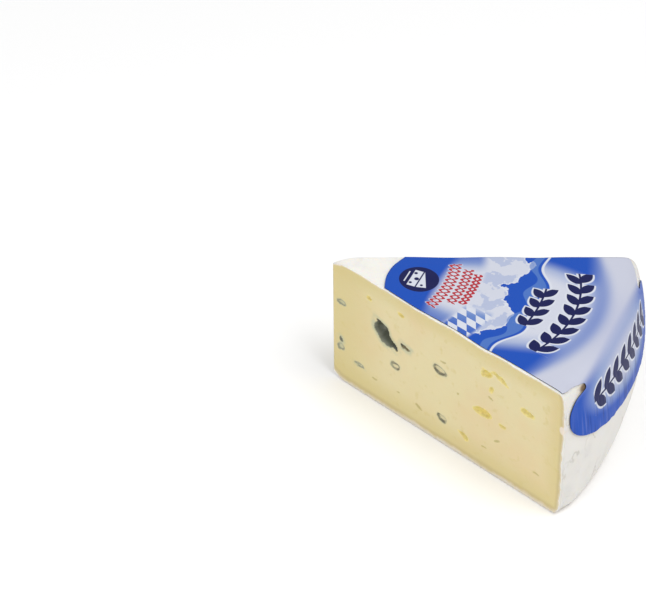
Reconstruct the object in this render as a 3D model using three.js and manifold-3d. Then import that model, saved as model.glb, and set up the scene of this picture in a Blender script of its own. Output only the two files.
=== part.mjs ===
// A wedge of soft blue-veined cheese, one eighth of a round wheel, with its paper label.
// Millimetres, +Z up. The tip points along -X, the rounded rind side along +X, and the two cut
// faces lie at plus and minus HALF_ANGLE. The wedge rests on its flat underside, and the origin
// is the middle of the bottom of its bounding box.
//
// The shape is worked out in the wheel's own coordinates first: a distance r from the wheel's
// axis, an angle from the wedge's middle plane, and a height z above the table.

import * as THREE from "three";
import { mergeVertices } from "three/addons/utils/BufferGeometryUtils.js";
import Module from "manifold-3d";

const degrees = THREE.MathUtils.degToRad;
const { lerp, smoothstep } = THREE.MathUtils;

// The wheel
const HEIGHT = 45.9;
const HALF_ANGLE = degrees(22.4);
const FRONT_RADIUS = 94.9; // of the side at the front cut, half way up
const BULGE = 1.2; // how much further the side stands out away from the front cut
const BULGE_EASE = degrees(4.3); // the angle over which it comes to that
const RIM_WIDTH = 12; // width of the band at the rim that the side's curve is drawn in
const CORNER_POWER = 9; // exponent of that curve, whose corners are nearly square
const UPPER_LEAN = 3.55; // how far the side leans in at the top, away from the front cut
const LOWER_LEAN = 6.9; // how far it leans in at the underside, at the back cut
const LOWER_GROWTH = 0.83; // exponent of that lean's growth across the wedge
const LEAN_POWER = 1.63; // exponent of both leans' growth from half way up

// The tip
const TIP_RADIUS = 0.3; // the tip's distance from the wheel's axis
const TIP_DROOP = 2.2; // how far the top sinks at the tip
const TIP_DROOP_REACH = 8;
const TIP_LIFT = 2.2; // how far the underside rises at the tip
const TIP_LIFT_REACH = 5;
const TIP_LIFT_POWER = 1.5;

// The label
const LABEL_GAP = 0.3; // between the rind and the paper
const LABEL_THICKNESS = 0.35;
const LOBE_RADIUS = 19.2; // of the label's inner end, on the middle plane
const LOBE_CUSP = 3.4; // how much further out that end is at the cuts
const LOBE_POWER = 2.2;
const LABEL_HALF_ANGLE = degrees(22.1);
const FOLD_HEIGHT = 45.5; // where the label's straight sides end, just over the rim
const FOLD_START = 0.96; // share of the way from the lobe to there where the paper begins to bend
const NOTCH_HEIGHT = 43.5; // of the upper edge of the notch in each side, at its inner end
const NOTCH_HALF_ANGLE = degrees(16);
const NOTCH_DEPTH = degrees(0.4); // how far its rounded end reaches in beyond that
const NOTCH_END = [0.25, 0.6]; // shares of the way down that end at which it is drawn
const TAB_WIDEST = 36.5; // height of the tab's widest place
const TAB_HALF_ANGLE = degrees(21.3);
const TAB_UPPER = { reach: 6.2, power: 3, turn: degrees(48) }; // its shoulders, up to the notch
const TAB_LOWER = { reach: 13.3, power: 2.6, turn: degrees(-69) }; // and its lower corners

// Fineness of the faceted surfaces
const ANGLE_STEPS = 24;
const TOP_STEPS = 6;
const RIM_STEPS = 36;
const CORNER_CROWDING = 1.6; // above 1, those steps lie closer together at the corners
const UNDERSIDE_SHARES = [1, 0.4, 0]; // of the way from the tip to where the underside lies flat
const LABEL_COLUMNS = 20;
const LABEL_TOP_ROWS = 4;
const LABEL_FOLD_ROWS = 7;
const LABEL_NOTCH_ROWS = 7;
const LABEL_TAB_ROWS = 18;
const WALK_STEPS = 120; // over the upper rim, when the paper is measured along it
const SLOPE_STEP = 0.2; // height over which the side's slope is taken
const PIT_SIDES = 12;
const PIT_RINGS = 8;
const PIT_STAND = 0.1; // share of a pit's depth by which its cutter's middle stands out of the cut

// Pits in the front cut: place along the cut and height, then length, width and depth, and the
// slope of the long axis in degrees.
const FRONT_PITS = [
  // the large mould pocket, three hollows that run into each other, and the slot beside it
  { r: 21.2, z: 30.1, long: 6.0, wide: 4.4, depth: 3.6, slope: -20 },
  { r: 22.9, z: 27.5, long: 7.8, wide: 4.6, depth: 4.0, slope: -42 },
  { r: 25.9, z: 26.4, long: 5.0, wide: 1.8, depth: 1.8, slope: -36 },
  { r: 31.1, z: 28.3, long: 3.4, wide: 1.3, depth: 1.3, slope: -14 },
  // mould in needle holes
  { r: 3.9, z: 31.0, long: 3.4, wide: 1.8, depth: 0.5, slope: -8 },
  { r: 3.6, z: 13.5, long: 2.2, wide: 2.4, depth: 0.5, slope: 0 },
  { r: 3.6, z: 16.2, long: 1.8, wide: 1.4, depth: 0.5, slope: -30 },
  { r: 11.5, z: 10.1, long: 4.6, wide: 1.3, depth: 0.5, slope: -6 },
  { r: 27.1, z: 18.6, long: 4.4, wide: 2.4, depth: 0.8, slope: -9 },
  { r: 45.5, z: 27.6, long: 5.8, wide: 2.9, depth: 1.0, slope: -10 },
  { r: 46.8, z: 9.7, long: 4.2, wide: 2.7, depth: 0.9, slope: -15 },
  // clean eyes in the paste
  { r: 15.9, z: 38.5, long: 2.0, wide: 1.5, depth: 0.9, slope: -20 },
  { r: 29.1, z: 39.9, long: 2.4, wide: 1.5, depth: 0.9, slope: -10 },
  { r: 64.1, z: 37.1, long: 4.6, wide: 2.7, depth: 1.5, slope: 12 },
  { r: 69.5, z: 37.8, long: 7.4, wide: 1.3, depth: 0.8, slope: -14 },
  { r: 66.4, z: 31.8, long: 1.8, wide: 2.0, depth: 0.8, slope: 0 },
  { r: 63.2, z: 21.5, long: 7.6, wide: 2.7, depth: 1.9, slope: 6 },
  { r: 80.5, z: 31.3, long: 5.2, wide: 1.9, depth: 1.2, slope: -8 },
  { r: 56.0, z: 8.0, long: 4.6, wide: 1.8, depth: 1.1, slope: -16 },
  { r: 71.4, z: 20.7, long: 2.6, wide: 1.1, depth: 0.7, slope: -10 },
];

// Pits in the back cut follow one rule: each next one lies a golden step along, up and in size,
// counted as shares of the ranges that its numbers may take.
const BACK_PIT_COUNT = 19;
const BACK_PIT_STEP = { along: 0.7549, up: 0.5698, size: 0.618 };
const BACK_PIT_R = [16, 85];
const BACK_PIT_Z = [7, 39];
const BACK_PIT_LONG = [2.2, 6.2];
const BACK_PIT_WIDE = [0.65, 0.4]; // shares of the length, for the smallest and the largest
const BACK_PIT_DEPTH = 0.28; // share of the length
const BACK_PIT_SLOPE = [-25, 25];

const CHEESE_COLOUR = 0xe3d5ac;
const LABEL_COLOUR = 0x8fa6d6;

// A point of the superellipse of radius 1 at a turn, from 90 degrees at its top through 0.
function superellipse(power, turn) {
  const out = Math.cos(turn);
  const up = Math.sin(turn);
  const reach = (Math.abs(out) ** power + Math.abs(up) ** power) ** (-1 / power);
  return new THREE.Vector2(out * reach, up * reach);
}

// The rim at an angle: the radius where its band begins, and how far the side leans in at the top
// and at the underside.
function rimShape(angle) {
  const away = smoothstep(angle, -HALF_ANGLE, -HALF_ANGLE + BULGE_EASE);
  const across = (angle + HALF_ANGLE) / (2 * HALF_ANGLE);
  return {
    inner: FRONT_RADIUS + BULGE * away - RIM_WIDTH,
    upperLean: UPPER_LEAN * away,
    lowerLean: LOWER_LEAN * across ** LOWER_GROWTH,
  };
}

// A point of the rim at a turn from 90 degrees, at its top, through 0, half way up the side, to
// -90 degrees.
function rimPoint(angle, turn) {
  const { inner, upperLean, lowerLean } = rimShape(angle);
  const unit = superellipse(CORNER_POWER, turn);
  const lean = (turn > 0 ? upperLean : lowerLean) * Math.abs(unit.y) ** LEAN_POWER;
  return new THREE.Vector2(inner + RIM_WIDTH * unit.x - lean, (HEIGHT / 2) * (1 + unit.y));
}

// The turn at a share of the way from the rim's top down to half way up the side. Equal steps of
// the share crowd together at the corner.
function upperTurn(share) {
  const way = 1 - 2 * share;
  return degrees(45) * (1 + Math.sign(way) * Math.abs(way) ** CORNER_CROWDING);
}

function topHeight(r) {
  return HEIGHT - TIP_DROOP * Math.max(0, 1 - r / TIP_DROOP_REACH) ** 2;
}

function undersideHeight(r) {
  return TIP_LIFT * Math.max(0, 1 - r / TIP_LIFT_REACH) ** TIP_LIFT_POWER;
}

// The wedge's outline in the upright plane at an angle, from the tip's top over the rim and back
// along the underside.
function sectionOutline(angle) {
  const inner = rimPoint(angle, Math.PI / 2).x;
  const outline = [];
  for (let i = 0; i < TOP_STEPS; i++) {
    const r = lerp(TIP_RADIUS, inner, (i / TOP_STEPS) ** 2);
    outline.push(new THREE.Vector2(r, topHeight(r)));
  }
  for (let i = 0; i <= RIM_STEPS; i++) {
    const share = (2 * i) / RIM_STEPS;
    outline.push(rimPoint(angle, share < 1 ? upperTurn(share) : -upperTurn(2 - share)));
  }
  for (const share of UNDERSIDE_SHARES) {
    const r = lerp(TIP_RADIUS, TIP_LIFT_REACH, share);
    outline.push(new THREE.Vector2(r, undersideHeight(r)));
  }
  return outline;
}

function toWheel(angle, r, z) {
  return new THREE.Vector3(r * Math.cos(angle), r * Math.sin(angle), z);
}

function closedGeometry(points, triangles) {
  const geometry = new THREE.BufferGeometry();
  geometry.setAttribute("position", new THREE.Float32BufferAttribute(points.flatMap((p) => [...p]), 3));
  geometry.setIndex(triangles.flat());
  return geometry;
}

// The whole wedge before its pits: the section swept round, closed by a fan at each cut.
function wedgeGeometry() {
  const points = [];
  const triangles = [];
  for (let j = 0; j <= ANGLE_STEPS; j++) {
    const angle = lerp(-HALF_ANGLE, HALF_ANGLE, j / ANGLE_STEPS);
    points.push(...sectionOutline(angle).map((p) => toWheel(angle, p.x, p.y)));
  }
  const count = points.length / (ANGLE_STEPS + 1);
  const next = (i) => (i + 1) % count;
  for (let j = 0; j < ANGLE_STEPS; j++) {
    const near = j * count;
    const far = near + count;
    for (let i = 0; i < count; i++) {
      triangles.push([near + i, near + next(i), far + next(i)], [near + i, far + next(i), far + i]);
    }
  }
  const last = ANGLE_STEPS * count;
  for (const angle of [-HALF_ANGLE, HALF_ANGLE]) {
    points.push(toWheel(angle, FRONT_RADIUS / 2, HEIGHT / 2));
  }
  const frontHub = points.length - 2;
  const backHub = points.length - 1;
  for (let i = 0; i < count; i++) {
    triangles.push([frontHub, next(i), i], [backHub, last + i, last + next(i)]);
  }
  return closedGeometry(points, triangles);
}

function backPits() {
  const pits = [];
  for (let k = 1; k <= BACK_PIT_COUNT; k++) {
    const along = (k * BACK_PIT_STEP.along) % 1;
    const up = (k * BACK_PIT_STEP.up) % 1;
    const size = (k * BACK_PIT_STEP.size) % 1;
    const long = lerp(...BACK_PIT_LONG, size ** 2);
    pits.push({
      r: lerp(...BACK_PIT_R, along),
      z: lerp(...BACK_PIT_Z, up),
      long,
      wide: long * lerp(...BACK_PIT_WIDE, size),
      depth: long * BACK_PIT_DEPTH,
      slope: lerp(...BACK_PIT_SLOPE, up),
    });
  }
  return pits;
}

// A hollow's cutter: an egg shape lying about half in the cheese, at the cut at an angle.
function pitGeometry(pit, angle) {
  const egg = new THREE.SphereGeometry(1, PIT_SIDES, PIT_RINGS);
  egg.scale(pit.long / 2, pit.depth, pit.wide / 2);
  egg.rotateY(-degrees(pit.slope));
  egg.translate(pit.r, Math.sign(angle) * PIT_STAND * pit.depth, pit.z);
  egg.rotateZ(angle);
  return egg;
}

// A walk along the top and the rim at an angle, as points and the distance walked to each. It
// starts at a radius and ends where the side has come down to a height.
function walkOverRim(angle, fromRadius, toHeight) {
  const inner = rimPoint(angle, Math.PI / 2).x;
  const points = [];
  for (let i = 0; i <= TOP_STEPS; i++) {
    const r = lerp(fromRadius, inner, i / TOP_STEPS);
    points.push(new THREE.Vector2(r, topHeight(r)));
  }
  for (let i = 1; i < WALK_STEPS && points.at(-1).y > toHeight; i++) {
    points.push(rimPoint(angle, upperTurn(i / WALK_STEPS)));
  }
  const walked = [0];
  for (let i = 1; i < points.length; i++) {
    walked.push(walked[i - 1] + points[i].distanceTo(points[i - 1]));
  }
  return { points, walked };
}

function pointOnWalk({ points, walked }, distance) {
  let i = 1;
  while (i < points.length - 1 && walked[i] < distance) {
    i++;
  }
  const share = (distance - walked[i - 1]) / (walked[i] - walked[i - 1]);
  const point = points[i - 1].clone().lerp(points[i], share);
  const along = points[i].clone().sub(points[i - 1]).normalize();
  return { point, outward: new THREE.Vector2(-along.y, along.x) };
}

// A point of the side at a height, with the direction that points out of the cheese.
function sidePoint(angle, z) {
  const { inner, upperLean, lowerLean } = rimShape(angle);
  const at = (height) => {
    const up = Math.abs((2 * height) / HEIGHT - 1);
    const out = (1 - up ** CORNER_POWER) ** (1 / CORNER_POWER);
    const lean = (height > HEIGHT / 2 ? upperLean : lowerLean) * up ** LEAN_POWER;
    return new THREE.Vector2(inner + RIM_WIDTH * out - lean, height);
  };
  const along = at(z - SLOPE_STEP).sub(at(z + SLOPE_STEP)).normalize();
  return { point: at(z), outward: new THREE.Vector2(-along.y, along.x) };
}

// The label's outline on the side, as heights and half angles: in along the upper edge of the
// notch, round its end, and round the tab to its level lower edge.
function sideOutline() {
  const outline = [];
  for (let i = 1; i <= LABEL_NOTCH_ROWS; i++) {
    const share = i / LABEL_NOTCH_ROWS;
    outline.push({
      z: lerp(FOLD_HEIGHT, NOTCH_HEIGHT, share),
      halfAngle: lerp(LABEL_HALF_ANGLE, NOTCH_HALF_ANGLE, share),
    });
  }
  const shoulder = TAB_WIDEST + TAB_UPPER.reach * superellipse(TAB_UPPER.power, TAB_UPPER.turn).y;
  for (const share of NOTCH_END) {
    outline.push({
      z: lerp(NOTCH_HEIGHT, shoulder, share),
      halfAngle: NOTCH_HALF_ANGLE - NOTCH_DEPTH * 2 * Math.sqrt(share * (1 - share)),
    });
  }
  for (let i = 0; i <= LABEL_TAB_ROWS; i++) {
    const turn = lerp(TAB_UPPER.turn, TAB_LOWER.turn, i / LABEL_TAB_ROWS);
    const quarter = turn > 0 ? TAB_UPPER : TAB_LOWER;
    const unit = superellipse(quarter.power, turn);
    outline.push({ z: TAB_WIDEST + quarter.reach * unit.y, halfAngle: TAB_HALF_ANGLE * unit.x });
  }
  return outline;
}

// The label's rows, from the lobe over the rim to the tab's lower edge. Each is a function of
// the share across, from -1 to 1.
function labelRows() {
  const topShares = [];
  for (let i = 0; i < LABEL_TOP_ROWS; i++) {
    topShares.push(lerp(0, FOLD_START, i / LABEL_TOP_ROWS));
  }
  for (let i = 0; i <= LABEL_FOLD_ROWS; i++) {
    topShares.push(lerp(FOLD_START, 1, i / LABEL_FOLD_ROWS));
  }
  const onTop = (share) => (across) => {
    const angle = across * LABEL_HALF_ANGLE;
    const lobe = LOBE_RADIUS + LOBE_CUSP * Math.abs(across) ** LOBE_POWER;
    const walk = walkOverRim(angle, lobe, FOLD_HEIGHT);
    return { angle, ...pointOnWalk(walk, share * walk.walked.at(-1)) };
  };
  const onSide = ({ z, halfAngle }) => (across) => {
    const angle = across * halfAngle;
    return { angle, ...sidePoint(angle, z) };
  };
  return [...topShares.map(onTop), ...sideOutline().map(onSide)];
}

// The paper as a closed sheet: its outer face, its inner face and the edge between them.
function labelGeometry() {
  const rows = labelRows();
  const columns = LABEL_COLUMNS + 1;
  const layer = rows.length * columns;
  const points = [];
  for (const lift of [LABEL_GAP + LABEL_THICKNESS, LABEL_GAP]) {
    for (const row of rows) {
      for (let c = 0; c < columns; c++) {
        const { angle, point, outward } = row(lerp(-1, 1, c / LABEL_COLUMNS));
        points.push(toWheel(angle, point.x + outward.x * lift, point.y + outward.y * lift));
      }
    }
  }
  const triangles = [];
  const quad = (a, b, c, d) => triangles.push([a, b, c], [a, c, d]);
  const at = (row, column) => row * columns + column;
  for (let row = 0; row < rows.length - 1; row++) {
    for (let c = 0; c < LABEL_COLUMNS; c++) {
      const [a, b, d, e] = [at(row, c), at(row + 1, c), at(row + 1, c + 1), at(row, c + 1)];
      // Each quad is split along the diagonal that is the shorter one where the label narrows.
      const corners = c < LABEL_COLUMNS / 2 ? [b, d, e, a] : [a, b, d, e];
      quad(...corners);
      const [p, q, s, t] = corners.map((corner) => layer + corner);
      triangles.push([s, q, p], [t, s, p]);
    }
    const right = LABEL_COLUMNS;
    quad(at(row, 0), layer + at(row, 0), layer + at(row + 1, 0), at(row + 1, 0));
    quad(at(row + 1, right), layer + at(row + 1, right), layer + at(row, right), at(row, right));
  }
  const lastRow = rows.length - 1;
  for (let c = 0; c < LABEL_COLUMNS; c++) {
    quad(at(0, c), at(0, c + 1), layer + at(0, c + 1), layer + at(0, c));
    quad(at(lastRow, c + 1), at(lastRow, c), layer + at(lastRow, c), layer + at(lastRow, c + 1));
  }
  return closedGeometry(points, triangles);
}

const wasm = await Module();
wasm.setup();

function toSolid(geometry) {
  const bare = geometry.clone();
  bare.deleteAttribute("normal");
  bare.deleteAttribute("uv");
  const merged = mergeVertices(bare, 1e-5);
  return new wasm.Manifold(
    new wasm.Mesh({
      numProp: 3,
      vertProperties: Float32Array.from(merged.attributes.position.array),
      triVerts: Uint32Array.from(merged.index.array),
    }),
  );
}

function toGeometry(solid) {
  const mesh = solid.getMesh();
  const geometry = new THREE.BufferGeometry();
  geometry.setAttribute("position", new THREE.BufferAttribute(Float32Array.from(mesh.vertProperties), 3));
  geometry.setIndex(new THREE.BufferAttribute(Uint32Array.from(mesh.triVerts), 1));
  return geometry;
}

function cheeseGeometry() {
  let solid = toSolid(wedgeGeometry());
  for (const pit of FRONT_PITS) {
    solid = solid.subtract(toSolid(pitGeometry(pit, -HALF_ANGLE)));
  }
  for (const pit of backPits()) {
    solid = solid.subtract(toSolid(pitGeometry(pit, HALF_ANGLE)));
  }
  return toGeometry(solid);
}

function namedMesh(name, geometry, colour, roughness) {
  geometry.computeVertexNormals();
  const material = new THREE.MeshStandardMaterial({ color: colour, roughness, metalness: 0 });
  const mesh = new THREE.Mesh(geometry, material);
  mesh.name = name;
  return mesh;
}

const wedge = new THREE.Group();
wedge.add(namedMesh("cheese", cheeseGeometry(), CHEESE_COLOUR, 0.55));
wedge.add(namedMesh("label", labelGeometry(), LABEL_COLOUR, 0.5));

// Stands the wedge with the middle of its bounding box's bottom at the origin.
const box = new THREE.Box3().setFromObject(wedge, true);
const middle = box.getCenter(new THREE.Vector3());
wedge.position.set(-middle.x, -middle.y, -box.min.z);
wedge.updateMatrixWorld(true);

export default wedge;
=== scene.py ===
# The looks of a wedge of soft blue-veined cheese: its cream paste with mould pockets and clean
# eyes, its white bloomy rind, and the printed paper label that folds down over its rim.
#
# Lengths are millimetres in the wheel's own coordinates until to_row turns them into the row
# frame's metres: a distance r from the wheel's axis, an angle from the wedge's middle plane, and
# a height z above the table.

import functools
import math

import bpy
import numpy as np
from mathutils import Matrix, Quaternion, Vector


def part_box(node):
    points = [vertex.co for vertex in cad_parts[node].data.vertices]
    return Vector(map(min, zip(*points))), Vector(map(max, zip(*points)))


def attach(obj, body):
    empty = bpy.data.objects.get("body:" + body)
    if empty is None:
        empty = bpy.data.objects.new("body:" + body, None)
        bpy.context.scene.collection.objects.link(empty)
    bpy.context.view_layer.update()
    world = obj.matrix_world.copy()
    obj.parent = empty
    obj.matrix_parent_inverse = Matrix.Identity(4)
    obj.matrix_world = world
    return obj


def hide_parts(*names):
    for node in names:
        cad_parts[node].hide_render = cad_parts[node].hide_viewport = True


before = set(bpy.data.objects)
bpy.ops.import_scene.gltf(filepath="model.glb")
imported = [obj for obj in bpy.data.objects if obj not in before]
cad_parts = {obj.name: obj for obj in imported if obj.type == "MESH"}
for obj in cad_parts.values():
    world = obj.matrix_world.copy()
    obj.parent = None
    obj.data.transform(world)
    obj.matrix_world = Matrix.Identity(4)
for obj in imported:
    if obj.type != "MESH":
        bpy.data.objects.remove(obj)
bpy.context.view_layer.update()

# The wheel and the wedge's tip, as in the solids
HEIGHT = 45.9
HALF_ANGLE = math.radians(22.4)
FRONT_RADIUS = 94.9
BULGE = 1.2
BULGE_EASE = math.radians(4.3)
RIM_WIDTH = 12.0
CORNER_POWER = 9.0
UPPER_LEAN = 3.55
LOWER_LEAN = 6.9
LOWER_GROWTH = 0.83
LEAN_POWER = 1.63
TIP_RADIUS = 0.3
TIP_DROOP = 2.2
TIP_DROOP_REACH = 8.0
TIP_LIFT = 2.2
TIP_LIFT_REACH = 5.0
TIP_LIFT_POWER = 1.5

# The label's outline, as in the solids
LOBE_RADIUS = 19.2
LOBE_CUSP = 3.4
LOBE_POWER = 2.2
LABEL_HALF_ANGLE = math.radians(22.1)
FOLD_HEIGHT = 45.5
FOLD_START = 0.96
NOTCH_HEIGHT = 43.5
NOTCH_HALF_ANGLE = math.radians(16)
NOTCH_DEPTH = math.radians(0.4)
TAB_WIDEST = 36.5
TAB_HALF_ANGLE = math.radians(21.3)
TAB_UPPER = {"reach": 6.2, "power": 3.0, "turn": math.radians(48)}
TAB_LOWER = {"reach": 13.3, "power": 2.6, "turn": math.radians(-69)}

# The camera: where the photograph was taken from, aimed at a point of the table measured from
# the wheel's axis.
VIEW_AZIMUTH = math.radians(23.494)
VIEW_ELEVATION = math.radians(37.53)
VIEW_ROLL = math.radians(-0.731)
VIEW_DISTANCE = 850.0
VIEW_AIM = (-18.06, 34.19)
VIEW_LENS = 144.57
SENSOR_WIDTH = 36.0

# Fineness of the cheese's surface: steps along the cut, across the wedge and up
LATTICE = (216, 72, 112)
RIM_WEIGHT = 0.4  # share of the steps up that a millimetre outward counts beside one downward
RIM_BLEND = 6.0  # how late along the cut the even steps up turn into the rim's own
RIM_CURVE_STEPS = 1440

# Thickness of the rind where it shows in the cuts, by the side it is on
RIND_TOP = 0.45
RIND_SIDE = 0.55
RIND_UNDER = 0.72

# Shallow dips across the top, deepest at the front cut
TOP_DIPS = [
    {"r": 36.0, "reach": 9.0, "front": 0.5, "back": 0.3},
    {"r": 61.5, "reach": 6.0, "front": 0.6, "back": 0.3},
]

# Hollows of the front cut, each with what it shows. They are as in the solids, but the last two
# of mould and the nicks are only here.
FRONT_PITS = [
    {"r": 21.2, "z": 30.1, "long": 6.0, "wide": 4.4, "depth": 3.6, "slope": -20, "kind": "mould"},
    {"r": 22.9, "z": 27.5, "long": 7.8, "wide": 4.6, "depth": 4.0, "slope": -42, "kind": "mould"},
    {"r": 25.9, "z": 26.4, "long": 5.0, "wide": 1.8, "depth": 1.8, "slope": -36, "kind": "mould"},
    {"r": 31.1, "z": 28.3, "long": 3.4, "wide": 1.3, "depth": 1.3, "slope": -14, "kind": "mould"},
    {"r": 3.9, "z": 31.0, "long": 3.4, "wide": 1.8, "depth": 0.5, "slope": -8, "kind": "smudge"},
    {"r": 3.6, "z": 13.5, "long": 2.2, "wide": 2.4, "depth": 0.5, "slope": 0, "kind": "smudge"},
    {"r": 3.6, "z": 16.2, "long": 1.8, "wide": 1.4, "depth": 0.5, "slope": -30, "kind": "mould"},
    {"r": 11.5, "z": 10.1, "long": 4.6, "wide": 1.3, "depth": 0.5, "slope": -6, "kind": "smudge"},
    {"r": 27.1, "z": 18.6, "long": 4.4, "wide": 2.4, "depth": 0.8, "slope": -9, "kind": "ring"},
    {"r": 45.5, "z": 27.6, "long": 5.8, "wide": 2.9, "depth": 1.0, "slope": -10, "kind": "ring"},
    {"r": 46.8, "z": 9.7, "long": 4.2, "wide": 2.7, "depth": 0.9, "slope": -15, "kind": "ring"},
    {"r": 15.9, "z": 38.5, "long": 2.0, "wide": 1.5, "depth": 0.9, "slope": -20, "kind": "eye"},
    {"r": 29.1, "z": 39.9, "long": 2.4, "wide": 1.5, "depth": 0.9, "slope": -10, "kind": "eye"},
    {"r": 64.1, "z": 37.1, "long": 4.6, "wide": 2.7, "depth": 1.5, "slope": 12, "kind": "eye"},
    {"r": 69.5, "z": 37.8, "long": 7.4, "wide": 1.3, "depth": 0.8, "slope": -14, "kind": "eye"},
    {"r": 66.4, "z": 31.8, "long": 1.8, "wide": 2.0, "depth": 0.8, "slope": 0, "kind": "eye"},
    {"r": 63.2, "z": 21.5, "long": 7.6, "wide": 2.7, "depth": 1.9, "slope": 6, "kind": "eye"},
    {"r": 80.5, "z": 31.3, "long": 5.2, "wide": 1.9, "depth": 1.2, "slope": -8, "kind": "eye"},
    {"r": 56.0, "z": 8.0, "long": 4.6, "wide": 1.8, "depth": 1.1, "slope": -16, "kind": "eye"},
    {"r": 71.4, "z": 20.7, "long": 2.6, "wide": 1.1, "depth": 0.7, "slope": -10, "kind": "eye"},
    {"r": 20.4, "z": 32.3, "long": 2.8, "wide": 1.0, "depth": 0.8, "slope": -24, "kind": "mould"},
    {"r": 20.0, "z": 28.9, "long": 3.6, "wide": 2.8, "depth": 2.6, "slope": -40, "kind": "mould"},
    {"r": 46.7, "z": 31.7, "long": 2.4, "wide": 0.7, "depth": 0.2, "slope": 4, "kind": "nick"},
    {"r": 52.9, "z": 22.7, "long": 1.4, "wide": 0.9, "depth": 0.2, "slope": 30, "kind": "nick"},
    {"r": 37.0, "z": 8.3, "long": 2.6, "wide": 0.7, "depth": 0.2, "slope": -22, "kind": "nick"},
    {"r": 28.2, "z": 9.2, "long": 1.1, "wide": 0.8, "depth": 0.2, "slope": 20, "kind": "nick"},
    {"r": 64.3, "z": 8.4, "long": 2.0, "wide": 0.6, "depth": 0.2, "slope": -12, "kind": "nick"},
    {"r": 69.2, "z": 13.8, "long": 1.8, "wide": 0.8, "depth": 0.2, "slope": 10, "kind": "nick"},
    {"r": 85.1, "z": 10.9, "long": 3.2, "wide": 0.6, "depth": 0.2, "slope": -6, "kind": "nick"},
    {"r": 18.0, "z": 8.6, "long": 2.4, "wide": 0.6, "depth": 0.2, "slope": -4, "kind": "nick"},
    {"r": 66.2, "z": 28.6, "long": 1.3, "wide": 0.8, "depth": 0.2, "slope": 0, "kind": "nick"},
]

# The brown painted shadow on the rind at the notch's inner end, where the paper lifts off: degrees
# from the middle plane, and height
NOTCH_SHADOW = (-15.9, 42.1)

# A white rag of rind that the knife drew over the front cut: radius and height
RAG = (93.9, 32.7)

# The back cut's hollows follow the solids' rule. Their kinds take turns.
BACK_PIT_COUNT = 19
BACK_PIT_STEP = {"along": 0.7549, "up": 0.5698, "size": 0.618}
BACK_PIT_R = (16, 85)
BACK_PIT_Z = (7, 39)
BACK_PIT_LONG = (2.2, 6.2)
BACK_PIT_WIDE = (0.65, 0.4)
BACK_PIT_DEPTH = 0.28
BACK_PIT_SLOPE = (-25, 25)
BACK_PIT_KINDS = ("ring", "mould", "ring", "ring", "eye")

# How steeply each kind of hollow falls off from its edge, and how much of its depth it reaches
PIT_FORM = {
    "mould": (1.6, 1),
    "ring": (2.4, 0.55),
    "smudge": (2.4, 0.55),
    "eye": (1.6, 1),
    "nick": (2.4, 1),
}
FAR = 8.0  # the greatest distance outside the hollows that is kept, in millimetres

# Layers of smooth noise: their sizes along and up in millimetres, and their shares. They are how
# the hollows' outlines wander, the knife's smears on a cut, and the lumps of the rind.
WANDER = [(2.6, 2.6, 0.5), (1.3, 1.3, 0.25)]
SMEARS = [(7.0, 3.0, 1.0), (2.2, 1.1, 0.5)]
SMEAR_DEPTH = 0.06
SMEAR_START = (0.5, 3.5)  # rind thicknesses from a cut's edge where they begin and are full
LUMPS = [(4.0, 4.0, 1.0), (1.7, 1.7, 0.5)]
LUMP_DEPTH = 0.07

# Where each noise's random draws start. SMEAR_SEED is added to the cut's own.
FRONT_SEED = 11
BACK_SEED = 31
SMEAR_SEED = 4
LUMP_SEED = 51
PLEAT_SEED = 71
SWELL_SEED = 73
SCALLOP_SEED = 81

# The paper: how it lies, and how finely it is drawn
PAPER_LIFT = 0.12
PAPER_THICKNESS = 0.2
LABEL_COLUMNS = 140
LABEL_TOP_ROWS = 96
LABEL_FOLD_ROWS = 20
LABEL_NOTCH_ROWS = 10
LABEL_NOTCH_END_ROWS = 5
LABEL_TAB_ROWS = 76
SCALLOP = 0.9
SCALLOP_STEP = 1.1
CURVE_TOP_STEPS = 160
CURVE_STEPS = 400
CURVE_END_STEPS = 8
CURVE_END_TURN = -0.3
CORNER_CROWDING = 1.6
NEARBY = 0.3  # how far ahead the paper's direction is looked up, in millimetres

# The paper's pleats and swells, as layers of noise: degrees across, millimetres along, share
PLEATS = [(0.9, 14, 1.0), (0.45, 9, 0.6)]
PLEAT_HEIGHT = 0.14
PLEAT_REACH = 22  # millimetres past the fold where they are full
SWELLS = [(5, 16, 1.0)]
SWELL_HEIGHT = 0.05


def lerp(a, b, t):
    return a + (b - a) * t


def ease(t):
    t = np.clip(t, 0, 1)
    return t * t * (3 - 2 * t)


def smooth_noise(x, y, seed):
    """Smooth noise from -1 to 1 with one value per whole step of x and y."""
    table = np.random.default_rng(seed).uniform(-1, 1, (256, 256))
    i, j = np.floor(x).astype(int), np.floor(y).astype(int)
    u, v = ease(x - i), ease(y - j)
    low = lerp(table[i % 256, j % 256], table[(i + 1) % 256, j % 256], u)
    high = lerp(table[i % 256, (j + 1) % 256], table[(i + 1) % 256, (j + 1) % 256], u)
    return lerp(low, high, v)


def layered_noise(x, y, layers, seed):
    return sum(
        share * smooth_noise(x / along, y / up, seed + number)
        for number, (along, up, share) in enumerate(layers)
    )


def raised_noise(x, y, layers, seed):
    """Layered noise that is never below 0."""
    return sum(layer[-1] for layer in layers) + layered_noise(x, y, layers, seed)


def superellipse(power, turn):
    """A point of the superellipse of radius 1 at a turn, from 90 degrees at its top through 0."""
    out, up = np.cos(turn), np.sin(turn)
    reach = (np.abs(out) ** power + np.abs(up) ** power) ** (-1 / power)
    return out * reach, up * reach


def rim_shape(angle):
    """Where the rim's band begins at an angle, and how far its side leans in above and below."""
    away = ease((angle + HALF_ANGLE) / BULGE_EASE)
    across = np.clip((angle + HALF_ANGLE) / (2 * HALF_ANGLE), 0, 1)
    inner = FRONT_RADIUS + BULGE * away - RIM_WIDTH
    return inner, UPPER_LEAN * away, LOWER_LEAN * across**LOWER_GROWTH


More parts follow.
